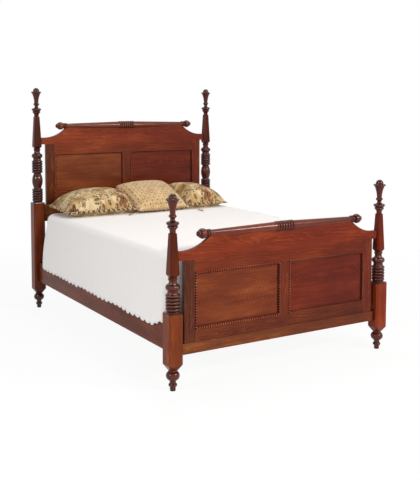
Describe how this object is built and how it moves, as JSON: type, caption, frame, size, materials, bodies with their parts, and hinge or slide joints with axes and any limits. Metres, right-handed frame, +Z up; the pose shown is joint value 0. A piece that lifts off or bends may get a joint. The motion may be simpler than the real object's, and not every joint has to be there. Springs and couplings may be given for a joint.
{
  "type": "spindle bed",
  "caption": "Bed with turned posts, panelled head and foot under scrolled boards and turned rolls, on hooked side rails, dressed with mattress, coverlet and pillows.",
  "frame": {"origin": "on the floor, in the middle of the bed", "axes": "+X to the right and +Y towards the head as seen from the foot; +Z up"},
  "size_m": [1.685, 2.295, 1.775],
  "materials": {
    "cherry": "red-brown stain under a satin varnish, grain showing",
    "plain_wood": "plain sanded softwood",
    "steel": "zinc plated",
    "brass_insert": "threaded insert",
    "leveller_steel": "zinc plated",
    "ticking": "plain woven cover",
    "white_cotton": "matte white cotton",
    "print_fabric": "matte printed cloth, cream and gold with olive and brown leaves",
    "woven_fabric": "matte tan weave with a lighter lattice",
    "cord_fabric": "matte twisted cord"
  },
  "bodies": {
    "bed": {"box_spring": "ticking", "centre_leg_foot": "plain_wood", "centre_leg_head": "plain_wood", "centre_leg_middle": "plain_wood", "coverlet": "white_cotton", "foot_bottom_rail": "cherry", "foot_cross_rail": "cherry", "foot_moulding_left": "cherry", "foot_moulding_right": "cherry", "foot_muntin": "cherry", "foot_panel_left": "cherry", "foot_panel_right": "cherry", "foot_post_left": "cherry", "foot_post_right": "cherry", "foot_roll": "cherry", "foot_scroll_board": "cherry", "foot_stile_left": "cherry", "foot_stile_right": "cherry", "foot_top_rail": "cherry", "frame_dowels": "plain_wood", "head_bottom_rail": "cherry", "head_cross_rail": "cherry", "head_moulding_left": "cherry", "head_moulding_right": "cherry", "head_muntin": "cherry", "head_panel_left": "cherry", "head_panel_right": "cherry", "head_post_left": "cherry", "head_post_right": "cherry", "head_roll": "cherry", "head_scroll_board": "cherry", "head_stile_left": "cherry", "head_stile_right": "cherry", "head_top_rail": "cherry", "ledger_left": "plain_wood", "ledger_right": "plain_wood", "ledger_screws": "steel", "leg_inserts": "brass_insert", "leg_screws": "steel", "mattress": "ticking", "pillow_left": "print_fabric", "pillow_right": "print_fabric", "plate_screws": "steel", "post_slot_plates": "steel", "rail_hook_plates": "steel", "roll_dowels": "plain_wood", "side_rail_left": "cherry", "side_rail_right": "cherry", "slat_1": "plain_wood", "slat_2": "plain_wood", "slat_3": "plain_wood", "slat_4": "plain_wood", "slat_5": "plain_wood", "slat_screws": "steel", "throw_pillow": "woven_fabric", "throw_tassels": "cord_fabric"},
    "leveller_foot": {"leveller_foot": "leveller_steel"},
    "leveller_head": {"leveller_head": "leveller_steel"},
    "leveller_middle": {"leveller_middle": "leveller_steel"}
  },
  "joints": [
    {"name": "leveller_foot_screw", "type": "slide", "parent": "bed", "child": "leveller_foot", "axis": [0, 0, 1], "range_m": [0, 0.012]},
    {"name": "leveller_head_screw", "type": "slide", "parent": "bed", "child": "leveller_head", "axis": [0, 0, 1], "range_m": [0, 0.012]},
    {"name": "leveller_middle_screw", "type": "slide", "parent": "bed", "child": "leveller_middle", "axis": [0, 0, 1], "range_m": [0, 0.012]}
  ]
}
